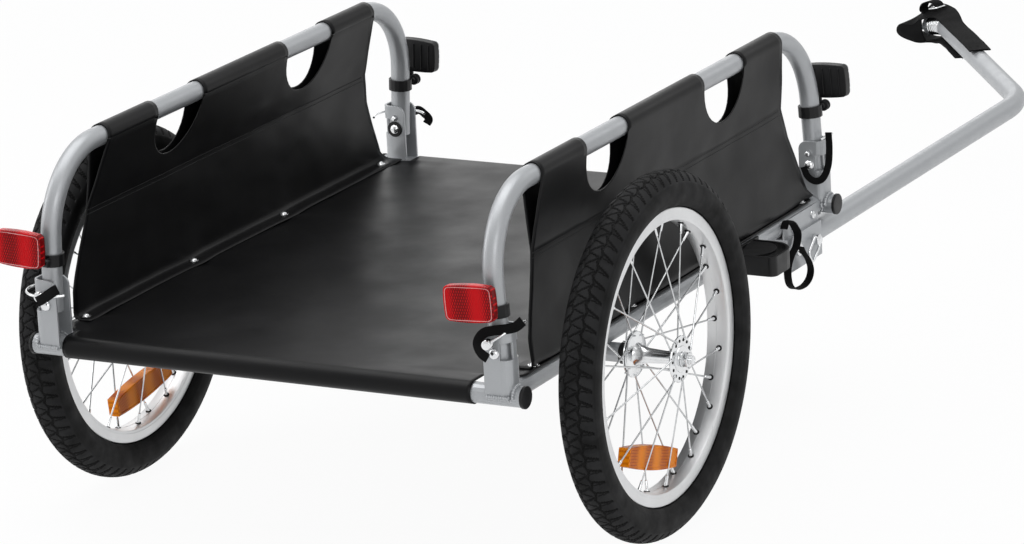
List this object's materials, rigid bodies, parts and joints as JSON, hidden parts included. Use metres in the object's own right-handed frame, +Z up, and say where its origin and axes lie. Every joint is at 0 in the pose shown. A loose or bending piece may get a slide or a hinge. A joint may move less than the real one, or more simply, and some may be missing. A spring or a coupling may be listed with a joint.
{
  "type": "cargo bike trailer",
  "caption": "Flat-bed cargo trailer for a bicycle, with spoked wheels, folding side hoops with fabric panels, a folding tow arm and a sprung hitch.",
  "frame": {"origin": "on the ground, under the middle of the overall box", "axes": "+Z up, +Y forward towards the towing bicycle, +X to the right"},
  "size_m": [0.7426, 1.762, 0.4387],
  "materials": {
    "silver_paint": "satin silver powder coat",
    "chrome_steel": "bright plated steel",
    "rim_alloy": "brushed and lightly polished",
    "black_sheet": "coated polyester sheet, satin black",
    "webbing": "woven polyester webbing, matt black",
    "black_plastic": "fine-grained black moulding",
    "tyre_rubber": "matt black rubber",
    "red_lens": "prismatic red reflector lens",
    "clear_lens": "prismatic clear reflector lens",
    "orange_lens": "prismatic orange reflector lens"
  },
  "bodies": {
    "frame": {"rear_cross_tube": "silver_paint", "front_cross_tube": "silver_paint", "left_rail": "silver_paint", "right_rail": "silver_paint", "axle_tube": "silver_paint", "rear_left_bracket": "silver_paint", "rear_left_cap": "black_plastic", "rear_left_pivot_bolt": "chrome_steel", "rear_right_bracket": "silver_paint", "rear_right_cap": "black_plastic", "rear_right_pivot_bolt": "chrome_steel", "front_left_bracket": "silver_paint", "front_left_cap": "black_plastic", "front_left_pivot_bolt": "chrome_steel", "front_right_bracket": "silver_paint", "front_right_cap": "black_plastic", "front_right_pivot_bolt": "chrome_steel", "left_axle": "chrome_steel", "left_axle_bush": "black_plastic", "right_axle": "chrome_steel", "right_axle_bush": "black_plastic", "floor_sheet": "black_sheet", "tow_bracket": "silver_paint", "tow_pivot_bolt": "chrome_steel", "tow_tether": "webbing", "wheel_guard": "black_plastic"},
    "left_wheel": {"left_tyre": "tyre_rubber", "left_rim": "rim_alloy", "left_hub": "chrome_steel", "left_wheel_reflector": "orange_lens"},
    "right_wheel": {"right_tyre": "tyre_rubber", "right_rim": "rim_alloy", "right_hub": "chrome_steel", "right_wheel_reflector": "orange_lens"},
    "left_side": {"left_hoop": "silver_paint", "left_side_panel": "black_sheet", "rear_left_clamp": "black_plastic", "front_left_clamp": "black_plastic"},
    "right_side": {"right_hoop": "silver_paint", "right_side_panel": "black_sheet", "rear_right_clamp": "black_plastic", "front_right_clamp": "black_plastic"},
    "rear_left_lens": {"rear_left_reflector": "red_lens"},
    "rear_right_lens": {"rear_right_reflector": "red_lens"},
    "front_left_lens": {"front_left_reflector": "clear_lens"},
    "front_right_lens": {"front_right_reflector": "clear_lens"},
    "rear_left_pin": {"rear_left_lock_pin": "chrome_steel"},
    "rear_left_ring": {"rear_left_pin_ring": "chrome_steel"},
    "rear_right_pin": {"rear_right_lock_pin": "chrome_steel"},
    "rear_right_ring": {"rear_right_pin_ring": "chrome_steel"},
    "front_left_pin": {"front_left_lock_pin": "chrome_steel"},
    "front_left_ring": {"front_left_pin_ring": "chrome_steel"},
    "front_right_pin": {"front_right_lock_pin": "chrome_steel"},
    "front_right_ring": {"front_right_pin_ring": "chrome_steel"},
    "arm": {"tow_arm": "silver_paint", "safety_strap": "webbing"},
    "tow_pin": {"tow_lock_pin": "chrome_steel"},
    "tow_bail": {"tow_pin_bail": "chrome_steel"},
    "hitch_flex": {"hitch_spring": "chrome_steel"},
    "hitch": {"hitch_coupler": "silver_paint"}
  },
  "joints": [
    {"name": "left_wheel_spin", "type": "hinge", "parent": "frame", "child": "left_wheel", "pos_m": [-0.329, -0.61255, 0.198], "axis": [1, 0, 0], "continuous": true},
    {"name": "right_wheel_spin", "type": "hinge", "parent": "frame", "child": "right_wheel", "pos_m": [0.329, -0.61255, 0.198], "axis": [1, 0, 0], "continuous": true},
    {"name": "left_side_fold", "type": "hinge", "parent": "frame", "child": "left_side", "pos_m": [-0.27, -0.84455, 0.2675], "axis": [0, 1, 0], "range_deg": [0, 87], "deforming": ["left_side_panel"]},
    {"name": "right_side_fold", "type": "hinge", "parent": "frame", "child": "right_side", "pos_m": [0.27, -0.84455, 0.2675], "axis": [0, -1, 0], "range_deg": [0, 87], "deforming": ["right_side_panel"]},
    {"name": "rear_left_lens_tilt", "type": "hinge", "parent": "left_side", "child": "rear_left_lens", "pos_m": [-0.26744, -0.86355, 0.31631], "axis": [0.9986, 0, -0.0523], "range_deg": [-12, 12]},
    {"name": "rear_right_lens_tilt", "type": "hinge", "parent": "right_side", "child": "rear_right_lens", "pos_m": [0.26776, -0.86355, 0.31029], "axis": [0.9986, 0, 0.0523], "range_deg": [-12, 12]},
    {"name": "front_left_lens_tilt", "type": "hinge", "parent": "left_side", "child": "front_left_lens", "pos_m": [-0.26727, -0.06555, 0.31964], "axis": [0.9986, 0, -0.0523], "range_deg": [-12, 12]},
    {"name": "front_right_lens_tilt", "type": "hinge", "parent": "right_side", "child": "front_right_lens", "pos_m": [0.26686, -0.06555, 0.32741], "axis": [0.9986, 0, 0.0523], "range_deg": [-12, 12]},
    {"name": "rear_left_pin_pull", "type": "slide", "parent": "frame", "child": "rear_left_pin", "axis": [0, -1, 0], "range_m": [0, 0.036]},
    {"name": "rear_left_ring_swing", "type": "hinge", "parent": "rear_left_pin", "child": "rear_left_ring", "pos_m": [-0.26929, -0.87065, 0.28098], "axis": [-1, 0, 0], "range_deg": [0, 150]},
    {"name": "rear_right_pin_pull", "type": "slide", "parent": "frame", "child": "rear_right_pin", "axis": [0, -1, 0], "range_m": [0, 0.036]},
    {"name": "rear_right_ring_swing", "type": "hinge", "parent": "rear_right_pin", "child": "rear_right_ring", "pos_m": [0.26929, -0.87065, 0.28098], "axis": [-0.829, 0, -0.5592], "range_deg": [0, 150]},
    {"name": "front_left_pin_pull", "type": "slide", "parent": "frame", "child": "front_left_pin", "axis": [0, 1, 0], "range_m": [0, 0.036]},
    {"name": "front_left_ring_swing", "type": "hinge", "parent": "front_left_pin", "child": "front_left_ring", "pos_m": [-0.26929, -0.05845, 0.28098], "axis": [1, 0, 0], "range_deg": [0, 150]},
    {"name": "front_right_pin_pull", "type": "slide", "parent": "frame", "child": "front_right_pin", "axis": [0, 1, 0], "range_m": [0, 0.036]},
    {"name": "front_right_ring_swing", "type": "hinge", "parent": "front_right_pin", "child": "front_right_ring", "pos_m": [0.26929, -0.05845, 0.28098], "axis": [0.7071, 0, 0.7071], "range_deg": [0, 150]},
    {"name": "tow_arm_fold", "type": "hinge", "parent": "frame", "child": "arm", "pos_m": [0.274, -0.17655, 0.191], "axis": [-1, 0, 0], "range_deg": [0, 170]},
    {"name": "tow_pin_pull", "type": "slide", "parent": "frame", "child": "tow_pin", "axis": [1, 0, 0], "range_m": [0, 0.04], "deforming": ["tow_tether"]},
    {"name": "tow_bail_swing", "type": "hinge", "parent": "tow_pin", "child": "tow_bail", "pos_m": [0.2939, -0.13355, 0.191], "axis": [0, -0.6157, 0.788], "range_deg": [0, 100], "deforming": ["tow_tether"]},
    {"name": "hitch_yaw", "type": "hinge", "parent": "arm", "child": "hitch_flex", "pos_m": [0.02162, 0.85077, 0.191], "axis": [0, 0, 1], "range_deg": [-20, 20], "stiffness_Nm_per_rad": 15, "deforming": ["hitch_spring", "safety_strap"]},
    {"name": "hitch_pitch", "type": "hinge", "parent": "hitch_flex", "child": "hitch", "pos_m": [0.02162, 0.85077, 0.191], "axis": [-0.2689, -0.9632, 0], "range_deg": [-20, 20], "stiffness_Nm_per_rad": 15, "deforming": ["hitch_spring", "safety_strap"]}
  ]
}
